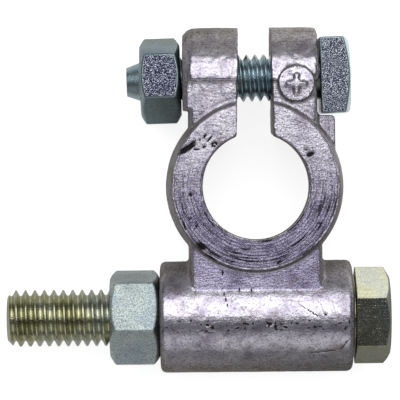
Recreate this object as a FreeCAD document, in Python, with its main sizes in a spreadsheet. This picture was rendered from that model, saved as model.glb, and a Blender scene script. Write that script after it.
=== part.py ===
import FreeCAD, Part
import math
import os
import Sketcher

# Battery terminal adapter: a split post clamp cast in lead alloy, with a stud bolt through its barrel.
# +Z is the battery post's axis, +X runs along the stud bolt towards its head, and +Y from the barrel to the ears.
# The origin is on the post's axis, at the ring's top face, where the bore is narrowest.

# The driving dimensions, in millimetres and degrees: name, value, meaning.
DIMENSIONS = [
    ("ring_dia", 30.0, "outside of the post ring at the mould's parting plane"),
    ("ring_height", 18.8, "ring from face to face"),
    ("ring_edge", 0.7, "rounding of the ring's outer edges"),
    ("ring_draft", 5.8, "slope of the ring's wall away from the parting plane, degrees"),
    ("draft", 2.5, "slope of the stem's and the ears' walls away from the parting plane, degrees"),
    ("bore_dia", 17.4, "post bore at its narrow top end, before clamping"),
    ("bore_land", 3.5, "straight stretch at the bore's top end"),
    ("bore_taper", 9.0, "length over which the bore's diameter grows by 1"),
    ("bore_edge", 0.25, "broken edges of the post bore"),
    ("web_width", 22.55, "stem across, at the parting plane"),
    ("ear_left", 11.2, "left ear's outer face, from the post axis, at the parting plane"),
    ("ear_right", 10.7, "right ear's outer face, likewise; the clamp bolt has drawn the ears in"),
    ("web_thick", 16.2, "stem and ears between their flat faces"),
    ("web_edge", 0.85, "rounding along the stem and the ears"),
    ("barrel_offset", 21.8, "post axis to barrel axis"),
    ("barrel_dia", 18.8, "outside of the barrel"),
    ("barrel_length", 32.2, "barrel from end to end"),
    ("barrel_edge", 0.9, "rounding of the barrel's ends"),
    ("stud_play", 0.35, "clearance round the stud bolt in the barrel, on the radius"),
    ("clamp_offset", 18.2, "post axis to clamp bolt axis"),
    ("clamp_tilt", 1.4, "slope of the clamp bolt, which sits askew in its holes, degrees"),
    ("clamp_play", 0.55, "clearance round the clamp bolt in the ears, on the radius"),
    ("crown_radius", 8.6, "half-round top of the ears, about the clamp bolt"),
    ("crown_step", 0.85, "how far below the clamp bolt's axis the half-round ends"),
    ("slot_width", 6.5, "slot between the ears, measured at the post axis"),
    ("slot_lean", 1.65, "slope of each slot wall towards the other, degrees"),
    ("boss_height", 0.9, "nut boss out from the left ear"),
    ("boss_radius", 8.2, "nut boss above the clamp bolt"),
    ("boss_depth", 15.8, "nut boss along the post axis"),
    ("boss_drop", 5.3, "nut boss below the clamp bolt"),
    ("boss_flat", 0.6, "flat stretch across the top of the nut boss, between its round corners"),
    ("boss_bevel", 0.9, "bevel along the nut boss's upper edge"),
    ("lug_reach", 2.75, "anti-rotation lug out from the right ear"),
    ("lug_depth", 9.0, "anti-rotation lug along the post axis"),
    ("lug_foot", 5.0, "lower end of the lug, inside the ring's wall, from the post axis"),
    ("lug_gap", 0.3, "lug to the flat of the square head above it"),
    ("lug_corner", 0.8, "rounding of the lug's outer corner"),
    ("disc_dia", 6.0, "raised disc on the right ear"),
    ("disc_height", 0.3, "raised disc above the half-round"),
    ("disc_x", 6.85, "raised disc's centre along the clamp bolt"),
    ("disc_drop", 1.4, "raised disc's centre below the clamp bolt's axis"),
    ("stud_dia", 9.525, "3/8 inch stud bolt"),
    ("stud_length", 57.7, "stud bolt below its head"),
    ("stud_pitch", 1.5875, "16 threads to the inch"),
    ("stud_flats", 14.29, "stud bolt's head and nut across flats"),
    ("stud_head", 6.2, "height of the stud bolt's head"),
    ("stud_turn", 36.5, "how far the stud bolt's head is turned about its axis, degrees"),
    ("stud_nut_thick", 8.33, "thickness of the stud nut"),
    ("stud_nut_turn", 13.0, "how far the stud nut is turned, degrees"),
    ("washer_face", 0.4, "round bearing face under the stud bolt's head"),
    ("clamp_dia", 7.9375, "5/16 inch clamp bolt"),
    ("clamp_length", 32.2, "clamp bolt below its head"),
    ("clamp_pitch", 1.4111, "18 threads to the inch"),
    ("clamp_point", 2.1, "length of the clamp bolt's blunt cone point"),
    ("clamp_point_dia", 4.8, "end of the clamp bolt's cone point"),
    ("clamp_flats", 12.7, "clamp bolt's square head and nut across flats"),
    ("clamp_head", 5.1, "height of the clamp bolt's head"),
    ("clamp_turn", 1.3, "how far the square head is turned about its axis, degrees"),
    ("clamp_nut_thick", 6.75, "thickness of the clamp nut"),
    ("clamp_nut_turn", 24.0, "how far the clamp nut is turned, degrees"),
    ("thread_play", 0.05, "running clearance of a nut on its bolt, on the radius"),
    ("thread_depth", 0.6134, "depth of a thread, as a share of its pitch"),
    ("corner_bevel", 30.0, "slope of the bevel on the hexagon head and the nuts, degrees"),
    ("square_bevel", 18.0, "slope of the bevel on the square head, degrees"),
    ("bevel_share", 0.95, "diameter inside the bevel, as a share of the width across flats"),
    ("seat_gap", 0.02, "least gap under a head or nut that sits askew"),
]

document = FreeCAD.newDocument("BatteryTerminalAdapter")
sheet = document.addObject("Spreadsheet::Sheet", "Sizes")
for row, (alias, number, meaning) in enumerate(DIMENSIONS, start=1):
    sheet.set(f"A{row}", meaning)
    sheet.set(f"B{row}", str(number))
    sheet.setAlias(f"B{row}", alias)
document.recompute()


def value(expression):
    """The number that an expression of the sheet's sizes gives."""
    return float(sheet.evalExpression(expression))


def degrees(alias):
    """An angle from the sheet, as an expression with its unit."""
    return f"Sizes.{alias} * 1 deg"


# Expressions that several pieces share.
MID_PLANE = "-Sizes.ring_height / 2"
HALF_HEIGHT = "Sizes.ring_height / 2"
STUD_RADIUS = "Sizes.stud_dia / 2"
CLAMP_RADIUS = "Sizes.clamp_dia / 2"
TILT = degrees("clamp_tilt")
BOSS_FACE = "(Sizes.ear_left + Sizes.boss_height)"


def new_body(name):
    """An empty body whose label is the sub-part's name."""
    body = document.addObject("PartDesign::Body", name)
    body.Label = name
    return body


def origin_part(body, role):
    """A body's own origin plane or axis, found by its role."""
    return next(part for part in body.Origin.OriginFeatures if part.Role == role)


def new_sketch(body, name, plane, shift=None):
    """A sketch on one of the body's origin planes, moved along the body's Y axis by shift."""
    sketch = body.newObject("Sketcher::SketchObject", name)
    sketch.AttachmentSupport = [(origin_part(body, plane), "")]
    sketch.MapMode = "FlatFace"
    if shift:
        along = "x" if plane == "YZ_Plane" else "y"
        sketch.setExpression(f"AttachmentOffset.Base.{along}", shift)
    return sketch


def bind(sketch, kind, place, expression):
    """A dimension of the sketch that follows an expression."""
    number = sketch.addConstraint(Sketcher.Constraint(kind, *place, value(expression)))
    sketch.setExpression(f"Constraints[{number}]", expression)


def pin_point(sketch, geometry, end, corner):
    """Hold a point of the sketch at the corner's two coordinates."""
    bind(sketch, "DistanceX", (-1, 1, geometry, end), corner[0])
    bind(sketch, "DistanceY", (-1, 1, geometry, end), corner[1])


def outline(sketch, corners):
    """A closed profile through corners of (x, y) or (x, y, radius), each of them an expression.

    A corner with a radius is a tangent arc, and its sharp corner stays as a construction point.
    """
    places = [FreeCAD.Vector(value(corner[0]), value(corner[1]), 0) for corner in corners]
    arcs = {}
    arrivals = list(places)
    departures = list(places)
    for index, corner in enumerate(corners):
        if len(corner) < 3:
            continue
        radius = value(corner[2])
        here = places[index]
        back = (places[index - 1] - here).normalize()
        ahead = (places[(index + 1) % len(places)] - here).normalize()
        half_angle = back.getAngle(ahead) / 2
        inward = (back + ahead).normalize()
        centre = here + inward * (radius / math.sin(half_angle))
        arrivals[index] = here + back * (radius / math.tan(half_angle))
        departures[index] = here + ahead * (radius / math.tan(half_angle))
        arcs[index] = Part.Arc(arrivals[index], centre - inward * radius, departures[index])
    lines = []
    for index, start in enumerate(departures):
        end = arrivals[(index + 1) % len(places)]
        lines.append(sketch.addGeometry(Part.LineSegment(start, end), False))
    for index, corner in enumerate(corners):
        before = lines[index - 1]
        after = lines[index]
        if index not in arcs:
            sketch.addConstraint(Sketcher.Constraint("Coincident", before, 2, after, 1))
            pin_point(sketch, after, 1, corner)
            continue
        arc = sketch.addGeometry(arcs[index], False)
        first = 1 if sketch.getPoint(arc, 1).isEqual(arrivals[index], 1e-6) else 2
        sketch.addConstraint(Sketcher.Constraint("Tangent", before, 2, arc, first))
        sketch.addConstraint(Sketcher.Constraint("Tangent", arc, 3 - first, after, 1))
        bind(sketch, "Radius", (arc,), corner[2])
        sharp = sketch.addGeometry(Part.Point(places[index]), True)
        sketch.addConstraint(Sketcher.Constraint("PointOnObject", sharp, 1, before))
        sketch.addConstraint(Sketcher.Constraint("PointOnObject", sharp, 1, after))
        pin_point(sketch, sharp, 1, corner)


def circle(sketch, centre, radius):
    """A circle with its centre and radius bound to expressions."""
    middle = FreeCAD.Vector(value(centre[0]), value(centre[1]), 0)
    ring = sketch.addGeometry(Part.Circle(middle, FreeCAD.Vector(0, 0, 1), value(radius)), False)
    pin_point(sketch, ring, 3, centre)
    bind(sketch, "Radius", (ring,), radius)


def add_feature(body, kind, name, sketch):
    """A feature on a sketch."""
    feature = body.newObject(kind, name)
    feature.Profile = sketch
    sketch.Visibility = False
    return feature


def pad(body, name, sketch, length, symmetric=False):
    """Extrude a sketch, to one side or to both sides alike."""
    feature = add_feature(body, "PartDesign::Pad", name, sketch)
    feature.setExpression("Length", length)
    if symmetric:
        feature.SideType = "Symmetric"
    return feature


def revolve(body, name, sketch, axis, angle=None):
    """Turn a sketch about one of its own axes, all round or evenly to both sides by an angle."""
    feature = add_feature(body, "PartDesign::Revolution", name, sketch)
    feature.ReferenceAxis = (sketch, [axis])
    feature.Angle = 360
    if angle:
        feature.Midplane = True
        feature.setExpression("Angle", angle)
    return feature


def checked_cut(body, kind, name, sketch):
    """A cutting feature, after a recompute, with the volume that the body had before it."""
    document.recompute()
    before = body.Tip.Shape.Volume
    return add_feature(body, kind, name, sketch), before


def must_be_smaller(feature, before):
    """Stop if a cut took nothing away."""
    document.recompute()
    if feature.Shape.Volume > before - 1e-3:
        raise RuntimeError(f"{feature.Name} removes nothing")


def groove(body, name, sketch, axis):
    """Turn a sketch all round one of its own axes and take that away."""
    feature, before = checked_cut(body, "PartDesign::Groove", name, sketch)
    feature.ReferenceAxis = (sketch, [axis])
    feature.Angle = 360
    must_be_smaller(feature, before)
    return feature


def pocket_through(body, name, sketch):
    """Cut a sketch right through the body, both ways."""
    feature, before = checked_cut(body, "PartDesign::Pocket", name, sketch)
    feature.Type = "ThroughAll"
    feature.SideType = "Symmetric"
    must_be_smaller(feature, before)
    return feature


def edges_where(shape, wanted):
    """The names of a shape's edges that a test picks out."""
    return [f"Edge{number}" for number, edge in enumerate(shape.Edges, start=1) if wanted(edge)]


def eased(x, y, across, up):
    """A rounded corner at (x, y) as two bevels; across and up lead from the corner to its two ends."""
    share = "(1 - cos(45 deg))"
    return [
        (f"{x} + {across}", y),
        (f"{x} + {share} * {across}", f"{y} + {share} * {up}"),
        (x, f"{y} + {up}"),
    ]


def slab(body, name, left, right, length):
    """A slab along Y whose walls slope away from the parting plane, with rounded edges, from y = 0 to -Y."""
    top = "Sizes.web_thick / 2"
    edge = "Sizes.web_edge"
    slope = f"({top} - {edge}) * tan({degrees('draft')})"
    right_wall = f"({right} - {slope})"
    left_wall = f"({slope} - {left})"
    sketch = new_sketch(body, f"{name}_section", "XZ_Plane")
    outline(sketch, [
        (right, "0"),
        *reversed(eased(right_wall, top, f"(-{edge})", f"(-{edge})")),
        *eased(left_wall, top, edge, f"(-{edge})"),
        (f"-{left}", "0"),
        *reversed(eased(left_wall, f"-{top}", edge, edge)),
        *eased(right_wall, f"-{top}", f"(-{edge})", edge),
    ])
    return pad(body, name, sketch, length)


def stem_and_ears(body):
    """The stem from the ring to the barrel, and the block that the slot parts into two ears."""
    half_stem = "Sizes.web_width / 2"
    slab(body, "stem", half_stem, half_stem, "Sizes.barrel_offset")
    ears = slab(body, "ears", "Sizes.ear_left", "Sizes.ear_right", "Sizes.clamp_offset - Sizes.crown_step")
    ears.Reversed = True


def nut_boss(body):
    """The raised seat of the clamp nut on the left ear, bevelled along its upper edge."""
    side = "Sizes.boss_depth / 2"
    corner = f"({side} - Sizes.boss_flat / 2)"
    sketch = new_sketch(body, "boss_outline", "YZ_Plane", shift="Sizes.clamp_offset")
    outline(sketch, [
        ("-Sizes.boss_drop", f"-{side}"),
        ("Sizes.boss_radius", f"-{side}", corner),
        ("Sizes.boss_radius", side, corner),
        ("-Sizes.boss_drop", side),
    ])
    feature = pad(body, "boss", sketch, BOSS_FACE)
    feature.Reversed = True
    document.recompute()
    face_x = -value(BOSS_FACE)
    low_y = value("Sizes.clamp_offset - Sizes.boss_drop")

    def on_upper_rim(edge):
        box = edge.BoundBox
        return abs(box.XMin - face_x) < 1e-4 and abs(box.XMax - face_x) < 1e-4 and box.YMax > low_y + 1e-3

    bevel = body.newObject("PartDesign::Chamfer", "boss_bevel")
    bevel.Base = (feature, edges_where(feature.Shape, on_upper_rim))
    bevel.setExpression("Size", "Sizes.boss_bevel")


def post_ring(body):
    """The ring as a solid disc with drafted walls and rounded edges; the bore is cut later."""
    edge = "Sizes.ring_edge"
    wall = f"(Sizes.ring_dia / 2 - ({HALF_HEIGHT} - {edge}) * tan({degrees('ring_draft')}))"
    sketch = new_sketch(body, "ring_profile", "XZ_Plane")
    outline(sketch, [
        ("0", f"-{HALF_HEIGHT}"),
        *eased(wall, f"-{HALF_HEIGHT}", f"(-{edge})", edge),
        ("Sizes.ring_dia / 2", "0"),
        *reversed(eased(wall, HALF_HEIGHT, f"(-{edge})", f"(-{edge})")),
        ("0", HALF_HEIGHT),
    ])
    revolve(body, "ring", sketch, "V_Axis")


def rounded_roller(body, name, shift, left, right, radius, edge, angle=None):
    """A roller along X with rounded ends, turned all round or evenly to both sides by an angle."""
    sketch = new_sketch(body, f"{name}_profile", "XY_Plane", shift=shift)
    outline(sketch, [
        (f"-{left}", "0"),
        (right, "0"),
        *reversed(eased(right, radius, f"(-{edge})", f"(-{edge})")),
        *eased(f"-{left}", radius, edge, f"(-{edge})"),
    ])
    revolve(body, name, sketch, "H_Axis", angle=angle)


def barrel(body):
    """The barrel that holds the stud bolt, with rounded ends."""
    end = "Sizes.barrel_length / 2"
    rounded_roller(body, "barrel", "-Sizes.barrel_offset", end, end, "Sizes.barrel_dia / 2", "Sizes.barrel_edge")


def crown(body):
    """The half-round top of both ears, a little over half a turn about the clamp bolt."""
    angle = "180 + 2 * asin(Sizes.crown_step / Sizes.crown_radius) / 1 deg"
    rounded_roller(body, "crown", "Sizes.clamp_offset", "Sizes.ear_left", "Sizes.ear_right", "Sizes.crown_radius",
                   "Sizes.web_edge", angle=angle)


def lug(body):
    """The anti-rotation lug, which stands out of the right ear just below the square head's flat."""
    head_flat = f"Sizes.clamp_offset + Sizes.ear_right * tan({TILT}) - Sizes.clamp_flats / 2"
    outer = "Sizes.ear_right + Sizes.lug_reach"
    sketch = new_sketch(body, "lug_outline", "XY_Plane")
    outline(sketch, [
        ("0", "Sizes.lug_foot"),
        (outer, "Sizes.lug_foot"),
        (outer, f"{head_flat} - Sizes.lug_gap", "Sizes.lug_corner"),
        ("0", f"{head_flat} - Sizes.lug_gap"),
    ])
    pad(body, "lug", sketch, "Sizes.lug_depth", symmetric=True)


def marking_disc(body):
    """The raised round pad on the right ear's half-round."""
    sketch = new_sketch(body, "disc_outline", "XY_Plane", shift="Sizes.clamp_offset")
    circle(sketch, ("Sizes.disc_x", "-Sizes.disc_drop"), "Sizes.disc_dia / 2")
    pad(body, "disc", sketch, "Sizes.crown_radius + Sizes.disc_height")


def slot(body):
    """The slot from the bore out between the ears, which narrows a little towards its mouth."""
    mouth = "(Sizes.clamp_offset + Sizes.crown_radius + Sizes.slot_width)"
    half_mouth = f"(Sizes.slot_width / 2 - {mouth} * tan({degrees('slot_lean')}))"
    sketch = new_sketch(body, "slot_outline", "XY_Plane")
    outline(sketch, [
        ("-Sizes.slot_width / 2", "0"),
        ("Sizes.slot_width / 2", "0"),
        (half_mouth, mouth),
        (f"-{half_mouth}", mouth),
    ])
    pocket_through(body, "slot", sketch)


def post_bore(body):
    """The bore for the battery post: a short straight land at the top, then a taper that widens downwards."""
    top = "Sizes.bore_dia / 2"
    bottom = f"({top} + (Sizes.ring_height - Sizes.bore_land) / Sizes.bore_taper / 2)"
    beyond = f"({HALF_HEIGHT} + Sizes.ring_edge)"
    sketch = new_sketch(body, "bore_profile", "XZ_Plane")
    outline(sketch, [
        ("0", beyond),
        (f"{top} + Sizes.bore_edge", beyond),
        (f"{top} + Sizes.bore_edge", HALF_HEIGHT),
        (top, f"{HALF_HEIGHT} - Sizes.bore_edge"),
        (top, f"{HALF_HEIGHT} - Sizes.bore_land"),
        (bottom, f"Sizes.bore_edge - {HALF_HEIGHT}"),
        (f"{bottom} + Sizes.bore_edge", f"-{HALF_HEIGHT}"),
        (f"{bottom} + Sizes.bore_edge", f"-{beyond}"),
        ("0", f"-{beyond}"),
    ])
    groove(body, "post_bore", sketch, "V_Axis")


def bolt_holes(body):
    """The stud bolt's hole along the barrel, and the clamp bolt's hole through both ears."""
    sketch = new_sketch(body, "stud_hole_outline", "YZ_Plane", shift="-Sizes.barrel_offset")
    circle(sketch, ("0", "0"), f"{STUD_RADIUS} + Sizes.stud_play")
    pocket_through(body, "stud_hole", sketch)
    sketch = new_sketch(body, "clamp_hole_outline", "YZ_Plane", shift="Sizes.clamp_offset")
    circle(sketch, ("0", "0"), f"{CLAMP_RADIUS} + Sizes.clamp_play")
    pocket_through(body, "clamp_hole", sketch)


def make_casting():
    """The whole casting, which is one piece."""
    body = new_body("clamp_casting")
    stem_and_ears(body)
    nut_boss(body)
    post_ring(body)
    barrel(body)
    crown(body)
    lug(body)
    marking_disc(body)
    slot(body)
    post_bore(body)
    bolt_holes(body)
    body.setExpression("Placement.Base.z", MID_PLANE)
    return body


def prism(body, name, flats, sides, turn, start, length):
    """A prism along X with flat sides, turned about X, from start over a length."""
    corner = f"({flats} / 2 / cos({180 / sides} deg))"
    sketch = new_sketch(body, f"{name}_outline", "YZ_Plane")
    sketch.setExpression("AttachmentOffset.Base.z", start)
    corners = []
    for side in range(sides):
        angle = f"({turn} + {(side + 0.5) * 360 / sides} deg)"
        corners.append((f"{corner} * cos({angle})", f"{corner} * sin({angle})"))
    outline(sketch, corners)
    return pad(body, name, sketch, length)


def corner_bevel(body, name, flats, sides, face, inward, slope="corner_bevel"):
    """Bevel a prism's corners at its end face; inward is +1 or -1, the way into the prism along X."""
    inner = f"({flats} / 2 * Sizes.bevel_share)"
    outer = f"({flats} / 2 / cos({180 / sides} deg) + Sizes.seat_gap)"
    depth = f"({outer} - {inner}) * tan({degrees(slope)})"
    sketch = new_sketch(body, f"{name}_profile", "XY_Plane")
    outline(sketch, [
        (face, inner),
        (f"{face} + {inward} * {depth}", outer),
        (face, outer),
    ])
    groove(body, name, sketch, "H_Axis")


def make_stud_bolt():
    """The hexagon-head bolt through the barrel. Its bearing face is at x = 0 and its shank runs to -X."""
    body = new_body("stud_bolt")
    tip = "-Sizes.stud_length"
    tip_bevel = "Sizes.thread_depth * Sizes.stud_pitch"
    face_radius = "Sizes.stud_flats / 2 * Sizes.bevel_share"
    sketch = new_sketch(body, "shank_profile", "XY_Plane")
    outline(sketch, [
        (tip, "0"),
        ("Sizes.washer_face", "0"),
        ("Sizes.washer_face", face_radius),
        ("0", face_radius),
        ("0", STUD_RADIUS),
        (f"{tip} + {tip_bevel}", STUD_RADIUS),
        (tip, f"{STUD_RADIUS} - {tip_bevel}"),
    ])
    revolve(body, "shank", sketch, "H_Axis")
    turn = degrees("stud_turn")
    prism(body, "head", "Sizes.stud_flats", 6, turn, "Sizes.washer_face", "Sizes.stud_head - Sizes.washer_face")
    corner_bevel(body, "head_bevel", "Sizes.stud_flats", 6, "Sizes.stud_head", -1)
    place_on_barrel(body, "Sizes.barrel_length / 2")
    return body


def place_on_barrel(body, x):
    """Put a body on the barrel's axis."""
    body.setExpression("Placement.Base.x", x)
    body.setExpression("Placement.Base.y", "-Sizes.barrel_offset")
    body.setExpression("Placement.Base.z", MID_PLANE)


def place_on_clamp_axis(body, x):
    """Put a body on the clamp bolt's sloping axis, with its seat at x along that axis."""
    body.Placement = FreeCAD.Placement(FreeCAD.Vector(), FreeCAD.Rotation(FreeCAD.Vector(0, 0, 1), 1))
    body.setExpression("Placement.Rotation.Angle", TILT)
    body.setExpression("Placement.Base.x", f"{x} * cos({TILT})")
    body.setExpression("Placement.Base.y", f"Sizes.clamp_offset + {x} * sin({TILT})")
    body.setExpression("Placement.Base.z", MID_PLANE)


def make_nut(name, radius, flats, thick, turn):
    """A hexagon nut with both faces bevelled. Its seat is at x = 0 and it runs to -X."""
    body = new_body(name)
    prism(body, "nut", flats, 6, turn, f"-{thick}", thick)
    corner_bevel(body, "outer_bevel", flats, 6, f"-{thick}", 1)
    corner_bevel(body, "inner_bevel", flats, 6, "0", -1)
    bore = f"({radius} + Sizes.thread_play)"
    mouth = f"({bore} + Sizes.bore_edge)"
    sketch = new_sketch(body, "bore_profile", "XY_Plane")
    outline(sketch, [
        ("Sizes.bore_edge", "0"),
        ("Sizes.bore_edge", mouth),
        ("0", mouth),
        ("-Sizes.bore_edge", bore),
        (f"Sizes.bore_edge - {thick}", bore),
        (f"-{thick}", mouth),
        (f"-{thick} - Sizes.bore_edge", mouth),
        (f"-{thick} - Sizes.bore_edge", "0"),
    ])
    groove(body, "bore", sketch, "H_Axis")
    return body


def make_clamp_bolt():
    """The square-head bolt through the ears. Its bearing face is at x = 0 and its shank runs to -X."""
    body = new_body("clamp_bolt")
    tip = "-Sizes.clamp_length"
    root = f"({CLAMP_RADIUS} - Sizes.thread_depth * Sizes.clamp_pitch)"
    sketch = new_sketch(body, "shank_profile", "XY_Plane")
    outline(sketch, [
        (tip, "0"),
        ("Sizes.clamp_head / 2", "0"),
        ("Sizes.clamp_head / 2", CLAMP_RADIUS),
        (f"{tip} + Sizes.clamp_point", CLAMP_RADIUS),
        (f"{tip} + Sizes.clamp_point", root),
        (tip, "Sizes.clamp_point_dia / 2"),
    ])
    revolve(body, "shank", sketch, "H_Axis")
    prism(body, "head", "Sizes.clamp_flats", 4, degrees("clamp_turn"), "0", "Sizes.clamp_head")
    corner_bevel(body, "head_bevel", "Sizes.clamp_flats", 4, "Sizes.clamp_head", -1, slope="square_bevel")
    lift = f"Sizes.clamp_flats / 2 * sin({TILT}) + Sizes.seat_gap"
    place_on_clamp_axis(body, f"((Sizes.ear_right + {lift}) / cos({TILT}))")
    return body


def make_clamp_nut():
    """The nut on the left ear's boss."""
    body = make_nut("clamp_nut", CLAMP_RADIUS, "Sizes.clamp_flats", "Sizes.clamp_nut_thick", degrees("clamp_nut_turn"))
    lift = f"Sizes.clamp_flats / 2 * sin({TILT}) + Sizes.seat_gap"
    place_on_clamp_axis(body, f"(-({BOSS_FACE} + {lift}) / cos({TILT}))")
    return body


def make_stud_nut():
    """The nut on the barrel's left end."""
    body = make_nut("stud_nut", STUD_RADIUS, "Sizes.stud_flats", "Sizes.stud_nut_thick", degrees("stud_nut_turn"))
    place_on_barrel(body, "-Sizes.barrel_length / 2")
    return body


bodies = [make_casting(), make_stud_bolt(), make_stud_nut(), make_clamp_bolt(), make_clamp_nut()]
document.recompute()

failed = [part.Name for part in document.Objects if {"Invalid", "Error"} & set(part.State)]
if failed:
    raise RuntimeError(f"these features failed: {failed}")
for body in bodies:
    if body.Shape.isNull() or not body.Shape.isValid() or len(body.Shape.Solids) != 1:
        raise RuntimeError(f"{body.Label} is not one valid solid")

os.makedirs("parts", exist_ok=True)
for body in bodies:
    body.Shape.exportStep(f"parts/{body.Label}.step")
    box = body.Shape.BoundBox
    print(f"{body.Label}: {body.Shape.Volume:.1f} mm3, x {box.XMin:.2f} to {box.XMax:.2f},"
          f" y {box.YMin:.2f} to {box.YMax:.2f}, z {box.ZMin:.2f} to {box.ZMax:.2f}")
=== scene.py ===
# %% [markdown]
# # A battery terminal adapter
#
# A split clamp, cast in lead alloy, grips the tapered post of a battery. A square-head bolt and a nut pull its
# two ears together. A barrel at its foot holds a long stud bolt, and cable lugs go on the stud's free end.
#
# This lesson dresses a finished solid model. The solids load first and fix every place and size. Each one is
# then reworked or rebuilt with the detail that makes it look real: a rough casting, cut threads and plating.

# %% Load the frame
import bpy
import math
import numpy as np
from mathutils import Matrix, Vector, noise


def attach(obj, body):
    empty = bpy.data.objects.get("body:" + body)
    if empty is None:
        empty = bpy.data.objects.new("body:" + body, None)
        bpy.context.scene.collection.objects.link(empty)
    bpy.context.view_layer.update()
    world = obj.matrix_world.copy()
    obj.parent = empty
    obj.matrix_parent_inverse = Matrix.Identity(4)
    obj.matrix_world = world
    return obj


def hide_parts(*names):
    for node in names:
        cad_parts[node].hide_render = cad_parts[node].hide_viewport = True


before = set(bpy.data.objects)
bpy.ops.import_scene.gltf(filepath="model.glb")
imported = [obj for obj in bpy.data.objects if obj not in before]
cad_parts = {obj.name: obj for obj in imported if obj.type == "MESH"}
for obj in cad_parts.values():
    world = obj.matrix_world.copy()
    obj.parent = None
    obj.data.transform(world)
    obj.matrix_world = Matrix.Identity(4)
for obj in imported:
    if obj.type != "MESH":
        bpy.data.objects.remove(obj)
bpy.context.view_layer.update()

# %% [markdown]
# ## Sizes
#
# Blender works in metres here, so a millimetre is a thousandth. The values below place what is rebuilt, and
# are the same as the solid model's. X runs along the stud bolt towards its head, Y from the barrel to the
# ears, and Z up along the battery post. The ring's top face lies at zero.

# %% Sizes of the real thing
MM = 0.001
MID_Z = -9.4 * MM
FLOOR_Z = -18.8 * MM
BARREL_Y = -21.8 * MM
BARREL_END = 16.1 * MM
CLAMP_Y = 18.2 * MM
CLAMP_TILT = math.radians(1.4)
EAR_RIGHT = 10.7 * MM
BOSS_FACE = 12.1 * MM

# Of each bolt: its thread's radius and pitch, the width across flats of head and nut, the length under the head,
# and the heights of head and nut.
STUD = {"radius": 4.7625 * MM, "pitch": 1.5875 * MM, "flats": 14.29 * MM, "length": 57.7 * MM,
        "head": 6.198 * MM, "nut": 8.33 * MM}
CLAMP = {"radius": 3.96875 * MM, "pitch": 1.4111 * MM, "flats": 12.7 * MM, "length": 32.2 * MM,
         "head": 5.1 * MM, "nut": 6.75 * MM}
THREAD_LENGTH = 25.4 * MM
THREAD_DEPTH = 0.6134  # as a share of the pitch
NUT_PLAY = 0.05 * MM
SEAT_GAP = 0.02 * MM
SEAT_LIFT = CLAMP["flats"] / 2 * math.sin(CLAMP_TILT) + SEAT_GAP

# %% [markdown]
# ## Working by hand, in code
#
# Most operators act on all that is selected, and the loaded solids start out selected. So the first helper
# leaves one piece selected and active. The next ones apply a modifier, place a piece, and combine two pieces.

# %% Helpers for one piece at a time
SEAM = 0.002 * MM


def only(piece):
    """Leave one piece selected and active."""
    bpy.ops.object.select_all(action="DESELECT")
    piece.select_set(True)
    bpy.context.view_layer.objects.active = piece
    return piece


def in_edit_mode(piece, *steps):
    """Select the whole mesh of a piece and run the steps on it in edit mode."""
    only(piece)
    bpy.ops.object.mode_set(mode="EDIT")
    bpy.ops.mesh.select_all(action="SELECT")
    for step in steps:
        step()
    bpy.ops.object.mode_set(mode="OBJECT")
    return piece


def finish_with(piece, kind, **settings):
    """Add one modifier to a piece and apply it."""
    only(piece)
    modifier = piece.modifiers.new(kind.title(), kind)
    for name, setting in settings.items():
        setattr(modifier, name, setting)
    bpy.ops.object.modifier_apply(modifier=modifier.name)
    return piece


def settle(piece, place=(0, 0, 0), turn=(0, 0, 0)):
    """Move and turn a piece, and put that into its mesh."""
    only(piece)
    piece.location = place
    piece.rotation_euler = turn
    bpy.ops.object.transform_apply(location=True, rotation=True, scale=True)
    return piece


def combine(piece, tool, operation):
    """Join, cut or intersect a piece with a tool, which is then gone."""
    finish_with(piece, "BOOLEAN", object=tool, operation=operation, solver="EXACT")
    bpy.data.objects.remove(tool)
    return piece


def outward():
    """Close the seams and turn all faces outwards, in edit mode."""
    bpy.ops.mesh.remove_doubles(threshold=SEAM)
    bpy.ops.mesh.normals_make_consistent(inside=False)


# %% [markdown]
# ## Turned shapes
#
# A bolt blank is turned: a profile goes once round the axis. The profile is traced as by hand. A small plane
# is merged to one point, and that point is extruded from corner to corner. Spin then takes the line round X.

# %% Trace a line and turn it
def traced(name, corners):
    """A line through corners of (along X, distance from X), made by extruding a single point."""
    bpy.ops.mesh.primitive_plane_add(size=MM, location=(0, 0, 0))
    piece = bpy.context.object
    piece.name = name
    start = Vector((corners[0][0], corners[0][1], 0))

    def extrude_all():
        bpy.ops.mesh.merge(type="CENTER")
        bpy.ops.transform.translate(value=start)
        for before, after in zip(corners, corners[1:]):
            step = (after[0] - before[0], after[1] - before[1], 0)
            bpy.ops.mesh.extrude_region_move(TRANSFORM_OT_translate={"value": step})

    return in_edit_mode(piece, extrude_all)


def turned(name, corners, steps=96):
    """A solid of revolution about X."""
    piece = traced(name, corners)

    def spin():
        bpy.ops.mesh.spin(steps=steps, angle=math.tau, center=(0, 0, 0), axis=(1, 0, 0))

    in_edit_mode(piece, spin)
    return in_edit_mode(piece, outward)


# %% [markdown]
# ## Heads and nuts
#
# A nut starts as a bar with six flats. Turning its ends at 30 degrees takes the corners off and leaves the
# curved edges that every machined nut has. Here the bar is intersected with a turned blank, which gives the
# same curves. A small bevel then takes the sharpness off, as tumbling and plating do.

# %% A prism with turned corners
BEVEL_SHARE = 0.92
BLANK_MARGIN = 0.05 * MM
SHARP_FROM = math.radians(32)
EDGE, NUT_EDGE, SQUARE_EDGE = 0.16 * MM, 0.32 * MM, 0.36 * MM


def prism(name, flats, sides, turn, start, length):
    """A bar along X with flat sides, turned about X so that its first corner stands half a side from turn."""
    corner = flats / 2 / math.cos(math.pi / sides)
    bpy.ops.mesh.primitive_cylinder_add(vertices=sides, radius=corner, depth=length)
    piece = bpy.context.object
    piece.name = name
    settle(piece, turn=(0, math.pi / 2, 0))
    return settle(piece, place=(start + length / 2, 0, 0), turn=(turn + math.pi / sides, 0, 0))


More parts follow.
